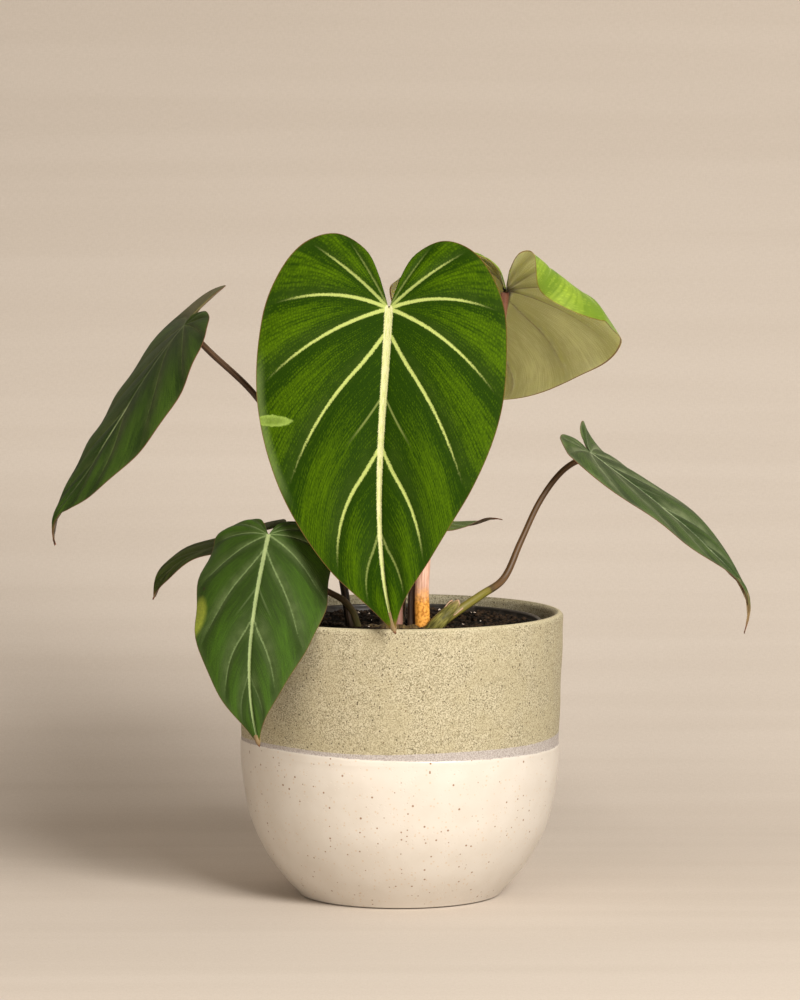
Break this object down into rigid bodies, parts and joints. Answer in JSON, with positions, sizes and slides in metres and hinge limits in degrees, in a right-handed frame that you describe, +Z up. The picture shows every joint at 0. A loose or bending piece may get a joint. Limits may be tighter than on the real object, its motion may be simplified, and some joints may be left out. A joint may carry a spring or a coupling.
{
  "type": "potted variegated philodendron gloriosum",
  "caption": "Velvety heart-leaved creeping aroid house plant with pale veins, in a plastic grow pot inside a round-bottomed two-tone stoneware pot.",
  "frame": {"origin": "middle of the ceramic pot's flat underside, where it stands", "axes": "+Z up along the pot's axis, -Y towards the front that the large leaf faces, +X to the right seen from the front"},
  "size_m": [0.3168, 0.2291, 0.3039],
  "materials": {
    "leaf_blade": "satin",
    "petiole": "satin",
    "cataphyll": "satin",
    "rhizome": "matte",
    "soil": "matte",
    "grow_pot": "satin",
    "stoneware": "matte"
  },
  "bodies": {
    "root": {"ceramic_pot": "stoneware", "grow_pot": "grow_pot", "soil": "soil", "rhizome": "rhizome", "cataphyll": "cataphyll", "blade_front_large": "leaf_blade", "blade_left_high": "leaf_blade", "blade_left_low": "leaf_blade", "blade_left_behind": "leaf_blade", "blade_right": "leaf_blade", "blade_back": "leaf_blade", "blade_young": "leaf_blade", "petiole_front_large": "petiole", "petiole_left_high": "petiole", "petiole_left_low": "petiole", "petiole_left_behind": "petiole", "petiole_right": "petiole", "petiole_back": "petiole", "petiole_young": "petiole"}
  },
  "joints": []
}
